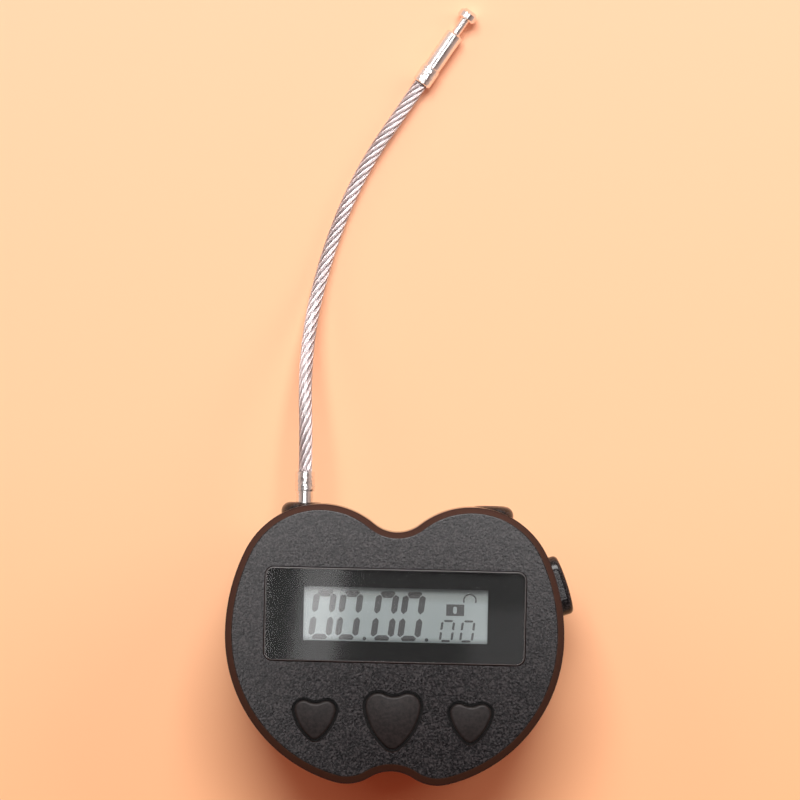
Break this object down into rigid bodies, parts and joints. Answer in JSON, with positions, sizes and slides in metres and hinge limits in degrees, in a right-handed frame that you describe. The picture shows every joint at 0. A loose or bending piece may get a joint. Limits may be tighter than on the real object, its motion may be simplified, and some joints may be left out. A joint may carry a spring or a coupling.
{
  "type": "timer padlock",
  "caption": "Battery timer padlock: apple-shaped black case with a display, heart-shaped buttons and a short wire-rope shackle that plugs into a motor-locked socket.",
  "frame": {"origin": "on the flat back face, under the middle of the case's outline", "axes": "+Z out of the display face, +Y towards the two shackle bosses, +X to the right of the display"},
  "size_m": [0.0643, 0.1447, 0.0259],
  "materials": {
    "board": "green laminate",
    "brass": "bright",
    "button": "satin black",
    "case": "fine spark texture",
    "cell": "foil pouch",
    "chip": "moulded black",
    "frame_plastic": "natural",
    "gear_plastic": "natural acetal",
    "lcd": "grey-green panel",
    "lead": "insulated wire",
    "lead_black": "insulated wire",
    "lens": "clear gloss",
    "mask": "black print",
    "plated": "nickel plate",
    "rope": "stranded, clear coated",
    "rotor": "wound copper on steel",
    "steel": "bright",
    "strip": "striped rubber"
  },
  "bodies": {
    "case": {"battery_cell": "cell", "battery_lead_minus": "lead_black", "battery_lead_plus": "lead", "board_screws": "steel", "case_screws": "steel", "circuit_board": "board", "connector_strip_bottom": "strip", "connector_strip_top": "strip", "controller_chip": "chip", "display_lens": "lens", "ejector_spring": "steel", "front_shell": "case", "gear_axle": "steel", "housing_screws": "steel", "lcd_panel": "lcd", "lens_mask": "mask", "lock_cover": "frame_plastic", "lock_housing": "frame_plastic", "motor_can": "plated", "motor_cap": "frame_plastic", "motor_pins": "brass", "port_board": "board", "port_pins": "brass", "port_shell": "plated", "port_tongue": "chip", "rear_shell": "case", "root_ferrule": "plated", "socket_plug": "frame_plastic", "socket_tube": "plated", "switch_centre": "chip", "switch_left": "chip", "switch_right": "chip", "timing_crystal": "plated", "tip_terminal": "plated", "wire_rope": "rope"},
    "gear": {"reduction_gear": "gear_plastic"},
    "bolt": {"lock_bolt": "steel"},
    "rotor": {"motor_pinion": "brass", "motor_rotor": "rotor"},
    "ejector_body": {"ejector": "steel"},
    "button_left_body": {"button_left": "button", "plunger_left": "gear_plastic"},
    "button_centre_body": {"button_centre": "button", "plunger_centre": "gear_plastic"},
    "button_right_body": {"button_right": "button", "plunger_right": "gear_plastic"}
  },
  "joints": [
    {"name": "gear_turn", "type": "hinge", "parent": "case", "child": "gear", "pos_m": [0.0065, 0.01339, 0.009], "axis": [0, 0, -1], "range_deg": [0, 114.59]},
    {"name": "bolt_slide", "type": "slide", "parent": "case", "child": "bolt", "axis": [1, 0, 0], "range_m": [0, 0.003]},
    {"name": "motor_turn", "type": "hinge", "parent": "case", "child": "rotor", "pos_m": [0.0016, 0.00942, 0.012], "axis": [0, 0, 1], "range_deg": [0, 366.8]},
    {"name": "ejector_slide", "type": "slide", "parent": "case", "child": "ejector_body", "axis": [0, -1, 0], "range_m": [0, 0.00149], "stiffness_N_per_m": 300, "springref_m": -0.002, "deforming": ["ejector_spring"]},
    {"name": "button_left_press", "type": "slide", "parent": "case", "child": "button_left_body", "axis": [0, 0, -1], "range_m": [0, 0.00035], "stiffness_N_per_m": 800, "springref_m": -0.0008},
    {"name": "button_centre_press", "type": "slide", "parent": "case", "child": "button_centre_body", "axis": [0, 0, -1], "range_m": [0, 0.00035], "stiffness_N_per_m": 800, "springref_m": -0.0008},
    {"name": "button_right_press", "type": "slide", "parent": "case", "child": "button_right_body", "axis": [0, 0, -1], "range_m": [0, 0.00035], "stiffness_N_per_m": 800, "springref_m": -0.0008}
  ],
  "couplings": [
    {"joint": "bolt_slide", "follows": "gear_turn", "m_per_rad": 0.0015},
    {"joint": "motor_turn", "follows": "gear_turn", "ratio": 3.2}
  ]
}
